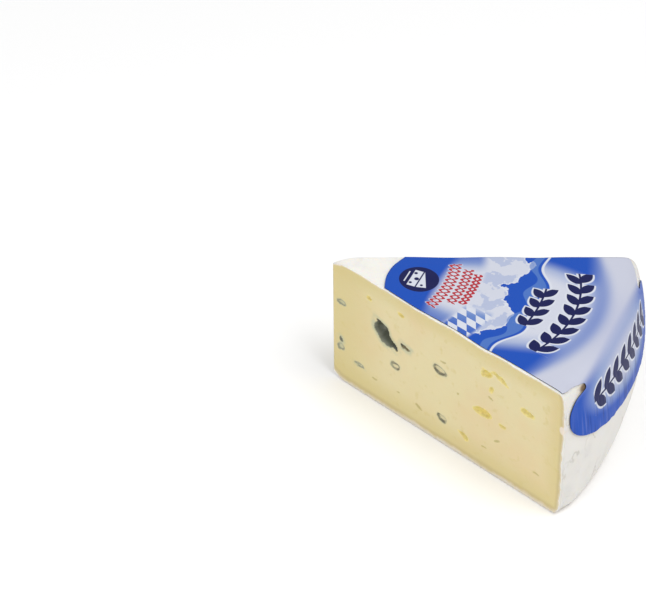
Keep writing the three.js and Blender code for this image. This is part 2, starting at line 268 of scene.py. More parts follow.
def rim_point(angle, turn):
    inner, upper_lean, lower_lean = rim_shape(angle)
    out, up = superellipse(CORNER_POWER, turn)
    lean = np.where(turn > 0, upper_lean, lower_lean) * np.abs(up) ** LEAN_POWER
    return inner + RIM_WIDTH * out - lean, HEIGHT / 2 * (1 + up)


def rim_radius(angle, z):
    inner, upper_lean, lower_lean = rim_shape(angle)
    up = np.clip(np.abs(2 * z / HEIGHT - 1), 0, 1)
    lean = np.where(z > HEIGHT / 2, upper_lean, lower_lean) * up**LEAN_POWER
    return inner + RIM_WIDTH * (1 - up**CORNER_POWER) ** (1 / CORNER_POWER) - lean


def top_height(r):
    return HEIGHT - TIP_DROOP * np.clip(1 - r / TIP_DROOP_REACH, 0, 1) ** 2


def top_dip(r, angle):
    """How far the top lies lower at a place than in the solids."""
    across = (angle + HALF_ANGLE) / (2 * HALF_ANGLE)
    return sum(
        lerp(dip["front"], dip["back"], across) * np.exp(-(((r - dip["r"]) / dip["reach"]) ** 2))
        for dip in TOP_DIPS
    )


def underside_height(r):
    return TIP_LIFT * np.clip(1 - r / TIP_LIFT_REACH, 0, 1) ** TIP_LIFT_POWER


# Where the wheel's axis stands in the row frame: the tip is the lowest x, and the front cut's
# outer edge the lowest y.
cheese_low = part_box("cheese")[0] * 1000
AXIS = np.array(
    [
        cheese_low[0] - TIP_RADIUS * math.cos(HALF_ANGLE),
        cheese_low[1] + FRONT_RADIUS * math.sin(HALF_ANGLE),
        0.0,
    ]
)


def to_row(r, angle, z):
    flat = np.stack([r * np.cos(angle), r * np.sin(angle), z], -1)
    return (flat + AXIS) / 1000


def new_mesh(name, points, faces):
    mesh = bpy.data.meshes.new(name)
    mesh.from_pydata(points.tolist(), [], faces)
    mesh.update()
    mesh.shade_smooth()
    piece = bpy.data.objects.new(name, mesh)
    bpy.context.collection.objects.link(piece)
    return piece


def store(piece, name, values, kind="FLOAT"):
    """Keeps a number or a vector for each vertex, for the material to read."""
    attribute = piece.data.attributes.new(name, kind, "POINT")
    field = "value" if kind == "FLOAT" else "vector"
    attribute.data.foreach_set(field, np.asarray(values, dtype=np.float32).ravel())


# The cheese


def back_pits():
    pits = []
    for k in range(1, BACK_PIT_COUNT + 1):
        along, up, size = (k * BACK_PIT_STEP[key] % 1 for key in ("along", "up", "size"))
        long = lerp(*BACK_PIT_LONG, size**2)
        pits.append(
            {
                "r": lerp(*BACK_PIT_R, along),
                "z": lerp(*BACK_PIT_Z, up),
                "long": long,
                "wide": long * lerp(*BACK_PIT_WIDE, size),
                "depth": long * BACK_PIT_DEPTH,
                "slope": lerp(*BACK_PIT_SLOPE, up),
                "kind": BACK_PIT_KINDS[k % len(BACK_PIT_KINDS)],
            }
        )
    return pits


def wandered(r, z, seed):
    """Places in a cut, moved about a little so that the hollows' outlines come out uneven."""
    return [
        value + layered_noise(r, z, WANDER, seed + len(WANDER) * part)
        for part, value in enumerate((r, z))
    ]


def outside_pit(pit, r, z):
    """How far a place lies outside a hollow's oval: as a share of its size, and in millimetres.
    Both are below 0 inside it."""
    slope = math.radians(pit["slope"])
    dr, dz = r - pit["r"], z - pit["z"]
    u = (dr * math.cos(slope) + dz * math.sin(slope)) / (pit["long"] / 2)
    v = (dz * math.cos(slope) - dr * math.sin(slope)) / (pit["wide"] / 2)
    scaled = np.maximum(np.hypot(u, v), 1e-6)
    growth = np.hypot(u / pit["long"], v / pit["wide"]) * 2 / scaled
    return scaled - 1, (scaled - 1) / growth


def read_pits(pits, r, z):
    """How deep the hollows are at each place, and how far it lies outside each kind of them."""
    depth = np.zeros_like(r)
    away = {kind: np.full_like(r, FAR) for kind in PIT_FORM}
    for pit in pits:
        share, distance = outside_pit(pit, r, z)
        steep, full = PIT_FORM[pit["kind"]]
        depth = np.maximum(depth, pit["depth"] * full * ease(-share * steep))
        away[pit["kind"]] = np.minimum(away[pit["kind"]], distance)
    return depth, away


def cheese_lattice():
    """The lattice's outer points: their whole-number places and the faces between them. The
    points across the tip's edge are one."""
    along, across, up = LATTICE
    place = np.stack(np.meshgrid(*(np.arange(n + 1) for n in LATTICE), indexing="ij"), -1)
    outer = ((place == 0) | (place == np.array(LATTICE))).any(-1)
    outer[0] = False
    outer[0, 0] = True
    number = np.full(outer.shape, -1)
    number[outer] = np.arange(outer.sum())
    number[0] = number[0, 0]
    sheets = [
        (number[:, 0, :], False),
        (number[:, across, :], True),
        (number[along], False),
        (number[:, :, 0], True),
        (number[:, :, up], False),
    ]
    faces = []
    for sheet, flip in sheets:
        corners = [sheet[:-1, :-1], sheet[1:, :-1], sheet[1:, 1:], sheet[:-1, 1:]]
        if flip:
            corners.reverse()
        faces += np.stack(corners, -1).reshape(-1, 4).tolist()
    return place[outer], [list(dict.fromkeys(face)) for face in faces]


def rim_rows():
    """The rim's radius and height for each step across and up."""
    _, across, up = LATTICE
    turns = np.linspace(-math.pi / 2, math.pi / 2, RIM_CURVE_STEPS + 1)
    rows_r, rows_z = [], []
    for angle in np.linspace(-HALF_ANGLE, HALF_ANGLE, across + 1):
        r, z = rim_point(angle, turns)
        step = np.abs(np.diff(z)) + RIM_WEIGHT * np.abs(np.diff(r))
        walked = np.concatenate([[0], np.cumsum(step)])
        wanted = np.linspace(0, walked[-1], up + 1)
        rows_r.append(np.interp(wanted, walked, r))
        rows_z.append(np.interp(wanted, walked, z))
    return np.array(rows_r), np.array(rows_z)


def make_cheese():
    place, faces = cheese_lattice()
    i, j, k = place.T
    along, across, up = LATTICE
    rim_r, rim_z = rim_rows()
    angle = lerp(-HALF_ANGLE, HALF_ANGLE, j / across)
    angle[i == 0] = 0
    r = lerp(TIP_RADIUS, rim_r[j, k], i / along)
    top = top_height(r) - top_dip(r, angle)
    under = underside_height(r)
    level = lerp(k / up, rim_z[j, k] / HEIGHT, (i / along) ** RIM_BLEND)
    z = lerp(under, top, level)

    on_front, on_back = (j == 0) & (i > 0), (j == across) & (i > 0)
    on_cut = on_front | on_back
    from_side = rim_radius(angle, z) - r
    skin = np.stack([(top - z) / RIND_TOP, (z - under) / RIND_UNDER, from_side / RIND_SIDE], -1)
    skin[~on_cut & (i > 0)] = 0

    depth = np.zeros_like(r)
    away = {kind: np.full_like(r, FAR) for kind in PIT_FORM}
    start, full = SMEAR_START
    cuts = ((on_front, FRONT_PITS, FRONT_SEED), (on_back, back_pits(), BACK_SEED))
    for side, pits, seed in cuts:
        dent, near = read_pits(pits, *wandered(r[side], z[side], seed))
        smear = raised_noise(r[side], z[side], SMEARS, seed + SMEAR_SEED)
        smear *= ease((skin[side].min(-1) - start) / (full - start))
        depth[side] = dent + SMEAR_DEPTH * smear
        for kind in PIT_FORM:
            away[kind][side] = near[kind]

    points = to_row(r, angle, z)
    inward = np.stack([np.sin(angle), -np.cos(angle), np.zeros_like(r)], -1)
    inward[on_front] *= -1
    points += inward * depth[:, None] / 1000

    # The rind gives way inwards only, so that it never reaches the paper that lies on it.
    piece = new_mesh("cheese_wedge", points, faces)
    normals = np.empty(len(points) * 3, dtype=np.float32)
    piece.data.vertices.foreach_get("normal", normals)
    lumps = raised_noise(angle * r, z + r, LUMPS, LUMP_SEED)
    give = np.where(~on_cut & (k > 0) & (i > 0), LUMP_DEPTH * lumps, 0)
    points -= normals.reshape(-1, 3) * give[:, None] / 1000
    piece.data.vertices.foreach_set("co", points.ravel())
    piece.data.update()

    store(piece, "skin", skin, "FLOAT_VECTOR")
    store(piece, "wheel", np.stack([r, np.degrees(angle), z], -1), "FLOAT_VECTOR")
    for kind in PIT_FORM:
        store(piece, kind, away[kind])
    return piece


# The label


@functools.lru_cache(maxsize=None)
def paper_curve(angle):
    """The way along the top and down the side at an angle: radius, height, distance walked, and
    the same three from the top's outer end on."""
    away_from_corner = np.linspace(1, -1, CURVE_STEPS)[1:]
    crowded = np.sign(away_from_corner) * np.abs(away_from_corner) ** CORNER_CROWDING
    end = np.linspace(0, CURVE_END_TURN, CURVE_END_STEPS)[1:]
    r_rim, z_rim = rim_point(angle, np.concatenate([math.pi / 4 * (1 + crowded), end]))
    r_top = np.linspace(0, float(rim_point(angle, math.pi / 2)[0]), CURVE_TOP_STEPS)
    r = np.concatenate([r_top, r_rim])
    z = np.concatenate([top_height(r_top) - top_dip(r_top, angle), z_rim])
    walked = np.concatenate([[0], np.cumsum(np.hypot(np.diff(r), np.diff(z)))])
    return r, z, walked, z_rim, walked[len(r_top) :]


def label_rows():
    """Each row of the paper: its half angle, and either a share of the way from the lobe to the
    fold or a height on the side."""
    shares = np.concatenate(
        [
            np.linspace(0, FOLD_START, LABEL_TOP_ROWS, endpoint=False),
            np.linspace(FOLD_START, 1, LABEL_FOLD_ROWS),
        ]
    )
    rows = [(LABEL_HALF_ANGLE, "top", share) for share in shares]
    for share in np.linspace(0, 1, LABEL_NOTCH_ROWS + 1)[1:]:
        half = lerp(LABEL_HALF_ANGLE, NOTCH_HALF_ANGLE, share)
        rows.append((half, "side", lerp(FOLD_HEIGHT, NOTCH_HEIGHT, share)))
    shoulder_rise = superellipse(TAB_UPPER["power"], TAB_UPPER["turn"])[1]
    shoulder = TAB_WIDEST + TAB_UPPER["reach"] * shoulder_rise
    for share in np.linspace(0, 1, LABEL_NOTCH_END_ROWS + 1)[1:-1]:
        half = NOTCH_HALF_ANGLE - NOTCH_DEPTH * 2 * math.sqrt(share * (1 - share))
        rows.append((half, "side", lerp(NOTCH_HEIGHT, shoulder, share)))
    for turn in np.linspace(TAB_UPPER["turn"], TAB_LOWER["turn"], LABEL_TAB_ROWS + 1):
        quarter = TAB_UPPER if turn > 0 else TAB_LOWER
        out, up = superellipse(quarter["power"], turn)
        rows.append((TAB_HALF_ANGLE * out, "side", TAB_WIDEST + quarter["reach"] * up))
    return rows


def drawn_up(height, angles):
    """How far the tab's scalloped lower edge is drawn up at a height, in millimetres."""
    hang = max(0, TAB_WIDEST - height) / TAB_LOWER["reach"]
    steps = np.degrees(angles) / SCALLOP_STEP
    noise = smooth_noise(steps, np.full_like(steps, 0.5), SCALLOP_SEED)
    return SCALLOP * hang**3 * (0.5 + 0.5 * noise)


def make_label():
    rows = label_rows()
    columns = LABEL_COLUMNS + 1
    shape = (len(rows), columns)
    angle, paper, side = np.zeros(shape), np.zeros(shape), np.zeros(shape)
    place = np.zeros((*shape, 2))
    out = np.zeros((*shape, 2))
    for n, (half, where, value) in enumerate(rows):
        angles = np.linspace(-half, half, columns)
        raised = drawn_up(value, angles) if where == "side" else angles * 0
        for c, a in enumerate(angles.tolist()):
            across = a / half
            r, z, walked, z_rim, walked_rim = paper_curve(a)
            fold = np.interp(-FOLD_HEIGHT, -z_rim, walked_rim)
            if where == "top":
                lobe = LOBE_RADIUS + LOBE_CUSP * abs(across) ** LOBE_POWER
                s = lerp(lobe, fold, value)
            else:
                s = np.interp(-value - raised[c], -z_rim, walked_rim)
                side[n, c] = s - fold
            near = [s, s + NEARBY]
            here, ahead = np.stack([np.interp(near, walked, r), np.interp(near, walked, z)], -1)
            way = (ahead - here) / np.hypot(*(ahead - here))
            angle[n, c], paper[n, c] = a, s
            place[n, c], out[n, c] = here, (-way[1], way[0])

    # Pleats gather where the flat paper is pressed round the rim, most at the tab's lower edge.
    degrees = np.degrees(angle)
    pleat = (1 + layered_noise(degrees, side, PLEATS, PLEAT_SEED)) / 2 * ease(side / PLEAT_REACH)
    swell = raised_noise(degrees, paper, SWELLS, SWELL_SEED)
    lift = PAPER_LIFT + PLEAT_HEIGHT * pleat + SWELL_HEIGHT * swell

    layers = []
    for thickness in (PAPER_THICKNESS, 0):
        spot = place + out * (lift + thickness)[..., None]
        layers.append(to_row(spot[..., 0], angle, spot[..., 1]).reshape(-1, 3))
    points = np.concatenate(layers)

    count = len(rows) * columns
    number = np.arange(count).reshape(shape)
    lower = number + count
    face = np.stack([number[:-1, :-1], number[1:, :-1], number[1:, 1:], number[:-1, 1:]], -1)
    back = np.stack([lower[:-1, 1:], lower[1:, 1:], lower[1:, :-1], lower[:-1, :-1]], -1)
    rim = np.concatenate([number[0, :], number[1:, -1], number[-1, -2::-1], number[-2:0:-1, 0]])
    ahead_on_rim = np.roll(rim, -1)
    edge = np.stack([rim, ahead_on_rim, ahead_on_rim + count, rim + count], -1)
    quads = np.concatenate([face.reshape(-1, 4), back.reshape(-1, 4), edge])
    piece = new_mesh("paper_label", points, quads.tolist())

    flat = np.stack([paper, degrees, side], -1).reshape(-1, 3)
    store(piece, "polar", np.concatenate([flat, flat]), "FLOAT_VECTOR")
    store(piece, "under", np.concatenate([np.zeros(count), np.ones(count)]))
    return piece


# Shader nodes as arithmetic


class Field:
    """A number that a material works out at each point, with the usual arithmetic."""

    def __init__(self, tree, socket):
        self.tree = tree
        self.socket = socket

    def math(self, operation, *others):
        node = self.tree.nodes.new("ShaderNodeMath")
        node.operation = operation
        for slot, value in zip(node.inputs, (self, *others)):
            if isinstance(value, Field):
                self.tree.links.new(value.socket, slot)
            else:
                slot.default_value = value
        return Field(self.tree, node.outputs[0])

    def __add__(self, other):
        return self.math("ADD", other)

    def __sub__(self, other):
        return self.math("SUBTRACT", other)

    def __rsub__(self, other):
        return self.math("MULTIPLY", -1.0).math("ADD", other)

    def __mul__(self, other):
        return self.math("MULTIPLY", other)

    def __truediv__(self, other):
        return self.math("DIVIDE", other)

    def abs(self):
        return self.math("ABSOLUTE")

    def squared(self):
        return self.math("MULTIPLY", self)

    def root(self):
        return self.math("SQRT")

    def sin(self):
        return self.math("SINE")

    def cos(self):
        return self.math("COSINE")

    def whole(self):
        return self.math("FLOOR")

    def part(self):
        return self.math("FRACT")

    def least(self, other):
        return self.math("MINIMUM", other)

    def most(self, other):
        return self.math("MAXIMUM", other)

    def rise(self, start, end):
        """0 up to start and 1 from end on, smooth between. It falls instead where end is lower."""
        node = self.tree.nodes.new("ShaderNodeMapRange")
        node.interpolation_type = "SMOOTHSTEP"
        self.tree.links.new(self.socket, node.inputs["Value"])
        falling = end < start
        node.inputs["From Min"].default_value = min(start, end)
        node.inputs["From Max"].default_value = max(start, end)
        node.inputs["To Min"].default_value = 1.0 if falling else 0.0
        node.inputs["To Max"].default_value = 0.0 if falling else 1.0
        return Field(self.tree, node.outputs["Result"])

    def band(self, middle, outer, inner):
        """1 within inner of the middle and 0 from outer on, smooth between."""
        return (self - middle).abs().rise(outer, inner)

    def between(self, low, high, soft):
        """1 between two bounds and 0 outside them. Each bound is 2 times soft wide."""
        return self.rise(low - soft, low + soft) * self.rise(high + soft, high - soft)


def srgb(red, green, blue):
    """A colour written as on a screen, 0 to 255, in the linear values that Blender wants."""
    channels = (value / 255 for value in (red, green, blue))
    linear = (c / 12.92 if c <= 0.04045 else ((c + 0.055) / 1.055) ** 2.4 for c in channels)
    return (*linear, 1.0)


class Paint:
    """A material with one Principled shader, whose colour is built up coat by coat."""

    def __init__(self, name):
        self.material = bpy.data.materials.new(name)
        self.material.use_nodes = True
        self.tree = self.material.node_tree
        self.shader = self.tree.nodes["Principled BSDF"]
        self.colour = None
        place = self.tree.nodes.new("ShaderNodeTexCoord")
        self.place = place.outputs["Object"]

    def attribute(self, name):
        node = self.tree.nodes.new("ShaderNodeAttribute")
        node.attribute_name = name
        return node

    def field(self, name):
        return Field(self.tree, self.attribute(name).outputs["Fac"])

    def parts(self, name):
        """The three numbers of a stored vector."""
        node = self.tree.nodes.new("ShaderNodeSeparateXYZ")
        self.tree.links.new(self.attribute(name).outputs["Vector"], node.inputs[0])
        return [Field(self.tree, socket) for socket in node.outputs]

    def noise(self, size, detail=2.0, stretch=(1, 1, 1), name=None):
        """Cloudy noise from 0 to 1 whose lumps are about size millimetres, at the places in
        space or, where a name is given, at the places that are stored under it."""
        scaled = self.tree.nodes.new("ShaderNodeMapping")
        place = self.attribute(name).outputs["Vector"] if name else self.place
        unit = 1 if name else 1000
        scaled.inputs["Scale"].default_value = [unit / size * n for n in stretch]
        self.tree.links.new(place, scaled.inputs["Vector"])
        node = self.tree.nodes.new("ShaderNodeTexNoise")
        node.inputs["Scale"].default_value = 1.0
        node.inputs["Detail"].default_value = detail
        self.tree.links.new(scaled.outputs["Vector"], node.inputs["Vector"])
        return Field(self.tree, node.outputs["Fac"])

    def coat(self, colour, cover=None):
        """Lays a colour over what is there, as far as cover says."""
        if cover is None:
            self.colour = colour
            return
        node = self.tree.nodes.new("ShaderNodeMix")
        node.data_type = "RGBA"
        self.tree.links.new(cover.socket, node.inputs["Factor"])
        for slot, value in (("A", self.colour), ("B", colour)):
            socket = next(s for s in node.inputs if s.name == slot and s.type == "RGBA")
            if isinstance(value, tuple):
                socket.default_value = value
            else:
                self.tree.links.new(value, socket)
        self.colour = next(s for s in node.outputs if s.type == "RGBA")

    def bump(self, height, distance):
        """Raises the surface by height times distance in millimetres."""
        node = self.tree.nodes.new("ShaderNodeBump")
        node.inputs["Distance"].default_value = distance / 1000
        self.tree.links.new(height.socket, node.inputs["Height"])
        self.tree.links.new(node.outputs["Normal"], self.shader.inputs["Normal"])

    def finish(self, roughness):
        self.tree.links.new(self.colour, self.shader.inputs["Base Color"])
        slot = self.shader.inputs["Roughness"]
        if isinstance(roughness, Field):
            self.tree.links.new(roughness.socket, slot)
        else:
            slot.default_value = roughness
        return self.material


# Materials

CREAM = srgb(215, 202, 157)
CREAM_WARM = srgb(215, 196, 151)
CREAM_YELLOW = srgb(203, 187, 125)
OCHRE = srgb(184, 167, 118)
EYE_YELLOW = srgb(232, 216, 132)
EYE_EDGE_SHADE = srgb(172, 148, 80)
NICK = srgb(180, 166, 104)
BLOOM = srgb(176, 180, 150)
MOULD = srgb(84, 87, 72)
MOULD_PALE = srgb(118, 121, 104)
RING = srgb(88, 86, 66)
MOULD_IN_SHADOW = srgb(36, 36, 26)
SLOT_BROWN = srgb(130, 114, 70)
RIND_WHITE = srgb(232, 230, 224)
RIND_GREY = srgb(212, 209, 204)
RIND_BEIGE = srgb(206, 196, 180)
RIND_LINE = srgb(222, 211, 198)
RIND_CREASE = srgb(180, 174, 162)
NOTCH_SHADOW_BROWN = srgb(120, 98, 74)

# Where the cheese's colours begin and where they are full. TIP_YELLOW, SLOT_START and SIDE_START
# are distances from the axis in millimetres, and EDGE_YELLOW, EDGE_OCHRE and RIND_EDGE are rind
# thicknesses from the edge of a cut.
TIP_YELLOW = (26, 2)
EDGE_YELLOW = (17.0, 3.0)
EDGE_OCHRE = (4.6, 2.2)
RIND_EDGE = (1.15, 0.75)
SLOT_START = (29.4, 30.0)
SIDE_START = (85, 88)
FRONT_CUT = (-20.0, -21.0)  # degrees from the middle plane

# The pocket is painted lit at its lower left and painted in shadow at its upper right, where its
# rim shades it: millimetres along a direction of r and z.
POCKET_DIRECTION = (0.67, 0.74)
POCKET_LIT = (37.0, 33.4)
POCKET_SHADED = (34.4, 38.0)

RAG_SIZE = (1.1, 1.5)  # millimetres
NOTCH_SHADOW_SIZE = (1.4, 1.3)  # degrees and millimetres

# Noise that makes the edges of the colours ragged: its size in millimetres, its detail and its
# reach. The hollows' reach is in millimetres, and the rind's in rind thicknesses.
PIT_RAGGED = (0.9, 3.0, 1.1)
RIND_RAGGED = [(1.6, 3.0, 1.4), (4.0, 2.0, 2.6)]

PASTE_ROUGHNESS = 0.42
RIND_ROUGHNESS = 0.82
RIND_BUMP = 0.14  # millimetres
SCATTER = 0.25
SCATTER_COLOURS = (1.0, 0.7, 0.4)
SCATTER_REACH = 0.0015  # metres


def oval(u, v, centre, reach):
    """The square of the distance from a centre, where reach counts as 1 along u and v."""
    return ((u - centre[0]) / reach[0]).squared() + ((v - centre[1]) / reach[1]).squared()


def paint_paste(paint, r, from_top, from_under, from_side):
    patches = paint.noise(22, 3.0)
    paint.coat(CREAM)
    paint.coat(CREAM_WARM, patches.rise(0.42, 0.68))
    paint.coat(CREAM_YELLOW, r.rise(*TIP_YELLOW) * 0.7)
    deepest = from_top.least(from_under).least(from_side)
    paint.coat(CREAM_YELLOW, deepest.rise(*EDGE_YELLOW) * 0.62)
    paint.coat(OCHRE, from_under.least(from_side).rise(*EDGE_OCHRE) * 0.6)
    paint.coat(CREAM_YELLOW, paint.noise(3.2, 3.0).rise(0.58, 0.74) * 0.5)


def paint_eyes(paint, ragged):
    grain = paint.noise(1.1, 4.0)
    eye = paint.field("eye") + ragged * 0.5
    paint.coat(EYE_YELLOW, eye.rise(0.5, -0.2) * 0.95)
    # painted shade: a darker ochre band round each eye's edge
    paint.coat(EYE_EDGE_SHADE, eye.band(-0.25, 0.5, 0.1) * grain.rise(0.3, 0.6) * 0.4)


def paint_rings(paint, ragged):
    """The holes that grew a thin skin of mould round their edges, the smudges and the nicks."""
    ring = paint.field("ring") + ragged * 0.35
    paint.coat(BLOOM, ring.rise(1.0, -0.4) * paint.noise(2.0, 3.0).rise(0.25, 0.6) * 0.65)
    uneven = paint.noise(2.4, 2.0).rise(0.3, 0.56) * 0.6 + 0.4
    paint.coat(CREAM, ring.rise(-0.5, -0.8) * 0.6)
    paint.coat(RING, ring.band(-0.3, 0.64, 0.16) * uneven * 0.92)
    smudge = paint.field("smudge") + ragged * 0.6
    paint.coat(BLOOM, smudge.rise(0.8, -0.3) * 0.6)
    paint.coat(MOULD_PALE, smudge.band(-0.15, 0.6, 0.05) * uneven * 0.8)
    nick = paint.field("nick") + ragged * 0.3
    paint.coat(NICK, nick.rise(0.2, -0.15) * 0.8)


def paint_pocket(paint, ragged, r, z, on_front):
    """The mould's hollows: on the front cut the deep pocket, painted lit at its lower left and in
    shadow at its upper right, and the brown slot beside it.
    """
    mould = paint.field("mould") + ragged * 0.7
    paint.coat(BLOOM, mould.rise(2.0, 0.1) * paint.noise(2.6, 3.0).rise(0.25, 0.55) * 0.8)
    inside = mould.rise(0.3, -0.15)
    paint.coat(MOULD, inside)
    slot_start, slot_full = SLOT_START
    in_pocket = inside * on_front * r.rise(slot_full, slot_start)
    # painted light and shade in the pocket: paler mould at its lower left, near black at its upper
    # right
    outward = r * POCKET_DIRECTION[0] + z * POCKET_DIRECTION[1]
    paint.coat(MOULD_PALE, in_pocket * outward.rise(*POCKET_LIT) * 0.7)
    paint.coat(MOULD_IN_SHADOW, in_pocket * outward.rise(*POCKET_SHADED) * 0.85)
    paint.coat(SLOT_BROWN, inside * on_front * r.rise(slot_start, slot_full) * 0.7)


def paint_rind(paint, ragged, r, angle, z, skin, on_front):
    """The white rind with its greys and creases, painted shade on its side and a painted shadow at
    the notch. Gives where it is, and the creases.
    """
    from_top, from_under, from_side = skin
    edge = from_top.least(from_under).least(from_side)
    for size, detail, reach in RIND_RAGGED:
        edge = edge + (paint.noise(size, detail) - 0.5) * reach
    rind = edge.rise(*RIND_EDGE)
    paint.coat(RIND_LINE, edge.rise(2.6, 1.0) * 0.5)
    paint.coat(RIND_WHITE, rind)
    grey = paint.noise(9, 4.0).rise(0.45, 0.7)
    paint.coat(RIND_GREY, rind * grey * 0.6)
    # painted shade: the rind on the wheel's side is greyer than on the top
    paint.coat(RIND_GREY, rind * r.rise(86, 92) * 0.5)

    # the lower edge, beige where the cuts show it
    paint.coat(RIND_LINE, rind * z.rise(2.2, 0.6) * 0.7)
    paint.coat(RIND_BEIGE, rind * z.rise(2.0, 1.0) * from_top.rise(2.0, 6.0) * 0.8)

    rag = oval(r, z, RAG, RAG_SIZE)
    paint.coat(RIND_LINE, on_front * (rag + ragged * 0.5).rise(1.3, 0.5) * 0.9)
    crease = paint.noise(11, 4.0, (1, 1, 0.6)).band(0.5, 0.02, 0.0)
    crease = crease * paint.noise(8, 2.0).rise(0.48, 0.6) * r.rise(84, 89)
    paint.coat(RIND_CREASE, rind * crease * 0.5)
    # painted shadow: beige fading to brown on the rind at the notch's inner end, where the paper
    # lifts off
    notch = oval(angle, z, NOTCH_SHADOW, NOTCH_SHADOW_SIZE)
    on_side = rind * r.rise(*SIDE_START)
    paint.coat(RIND_BEIGE, on_side * notch.rise(3.5, 0.6) * 0.8)
    paint.coat(NOTCH_SHADOW_BROWN, on_side * notch.rise(1.3, 0.15))
    return rind, crease


def cheese_material():
    paint = Paint("cheese")
    skin = paint.parts("skin")
    r, angle, z = paint.parts("wheel")
    on_front = angle.rise(*FRONT_CUT)
    size, detail, reach = PIT_RAGGED
    ragged = (paint.noise(size, detail) - 0.5) * reach
    paint_paste(paint, r, *skin)
    paint_eyes(paint, ragged)
    paint_rings(paint, ragged)
    paint_pocket(paint, ragged, r, z, on_front)
    rind, crease = paint_rind(paint, ragged, r, angle, z, skin, on_front)
    relief = paint.noise(0.7, 5.0) * 0.5 + paint.noise(2.4, 3.0) * 0.5 - crease * 0.6
    paint.bump(relief, RIND_BUMP)
    shader = paint.shader.inputs
    shader["Subsurface Weight"].default_value = SCATTER
    shader["Subsurface Radius"].default_value = SCATTER_COLOURS
    shader["Subsurface Scale"].default_value = SCATTER_REACH
    return paint.finish(rind * (RIND_ROUGHNESS - PASTE_ROUGHNESS) + PASTE_ROUGHNESS)


PAPER = srgb(191, 194, 209)
PAPER_WHITE = srgb(206, 210, 220)
PAPER_EDGE_SHADOW = srgb(34, 40, 70)
BLUE = srgb(20, 75, 175)
BLUE_SOFT = srgb(84, 122, 188)
NAVY = srgb(10, 18, 76)
RED = srgb(172, 44, 56)
PAPER_ROUGHNESS = 0.45
PAPER_SPECULAR = 0.2
PAPER_BUMP = 0.01  # millimetres

# On the paper, s is the way from the axis in millimetres, and angles are degrees from the
# middle plane. A bowed line has its s at the middle plane, an angle, and how much s grows there.
LOBE_BLUE_END = (34.5, 20, 2.8)
CUT_BLUE_END = (49.0, 45.0)
ARC_MIDDLE = (84.2, 12, -1.6)
TAB_BLUE_TOP = (92.0, 15, 2.5)
TAB_PALE_CENTRE = (-0.5, 99.9)  # angle and s, as is its reach
TAB_PALE_REACH = (14.6, 9.2)
DEEP_END = {"s": 65, "angle": 19.8, "slope": -0.45}
ROCKS = ((46.5, 48.5), (63, 61))  # where the faint rocks begin and end

# Each line of hills: its s, how high its waves are, and their turn at an angle as rate and start
NEAR_HILLS = (58.5, -3.2, 0.22, 0.55)
FAR_HILLS = (66.0, 1.8, 0.35, -1.2)
RIDGE = (62.0, 1.5, 0.5, 2.0)
HILLS_ROUGHNESS = 11

LOZENGE_LONG = (3.41, -1.26)  # the two sides of the traditional lozenge check
LOZENGE_SHORT = (-1.19, 3.19)
LOZENGE_ANGLES = (-6.5, -10.5)
LOZENGE_START = (46.2, 47.6)
LOZENGE_END = (57.0, 55.4)

# Each row of braid: its distance from the axis, the angles where it ends, and its half width
BRAIDS = [(38.2, -17.0, 17.0, 1.45), (42.4, -10.5, 13.5, 1.25), (45.7, -9.0, 10.8, 0.95)]
BRAID_LENGTH = 3.6
BRAID_HALF_STRAND = 0.2

# The badge: its centre, and in it the holes of the cheese with their sizes
BADGE_CENTRE = (29.0, -0.35)
BADGE_RADIUS = 6.2
BADGE_HOLES = [(-2.4, -1.9, 0.55), (0.1, -0.75, 0.75), (2.5, -1.9, 0.5), (2.5, 1.7, 0.45)]

# The cheese on the badge: half its length, half the height of its side, where its top begins, how
# steeply the top rises and which way the top's end faces. A short line runs under it.
DRAWN_REACH = 3.9
DRAWN_SIDE = 1.3
DRAWN_TOP = 0.45
DRAWN_SLOPE = 0.42
DRAWN_END = (0.97, 0.25)
DRAWN_LINE = {"at": -3.9, "reach": 2.6, "half_width": 0.2}

# Each garland: its distance from the axis, how far it bows in at GARLAND_BOW degrees, the step,
# length and width of its leaves, and how many steps it runs to either side
GARLANDS = [
    (77.8, 2.0, 5.3, 6.8, 3.1, -4, 4),
    (66.8, 0.0, 4.9, 6.2, 2.9, -2, 2),
    (100.8, -1.4, 6.2, 7.6, 3.4, -4, 4),
]
GARLAND_BOW = 15
GARLAND_REACH = (0.85, 0.8)  # leaf lengths from the stem where it ends and is still whole
LEAF_TURN = 40  # degrees
LEAF_STAGGER = 0.1  # of a step, along the stem
LEAF_OUT = 0.27  # of a leaf's length, to the side of the stem
HALF_STEM = 0.3


def leaf(u, v, long, wide):
    """How far a place is outside a pointed leaf along u, in millimetres: below 0 inside it."""
    share = (u / (long / 2)).abs().least(1.0)
    half = (1 - share.squared()) * (wide / 2)
    tip = (u.abs() - long / 2).most(0.0)
    return v.abs() - half + tip


def turned(u, v, degrees):
    cos, sin = math.cos(math.radians(degrees)), math.sin(math.radians(degrees))
    return u * cos + v * sin, v * cos - u * sin


def garland(s, arc, at, step, length, width):
    """Pairs of leaves on a stem at a distance from the axis, as the distance outside them."""
    cell = (arc / step).part() * step - step / 2
    rows = []
    for side in (-1, 1):
        along = cell - LEAF_STAGGER * step * side
        across = s - (at + side * length * LEAF_OUT)
        rows.append(leaf(*turned(along, across, side * LEAF_TURN), length, width))
    stem = (s - at).abs() - HALF_STEM
    return rows[0].least(rows[1]).least(stem)


def bowed_line(out, line):
    at, reach, bow = line
    return (out / reach).squared() * bow + at


def wavy_line(a, line):
    at, height, rate, start = line
    return (a * rate + start).sin() * height + at


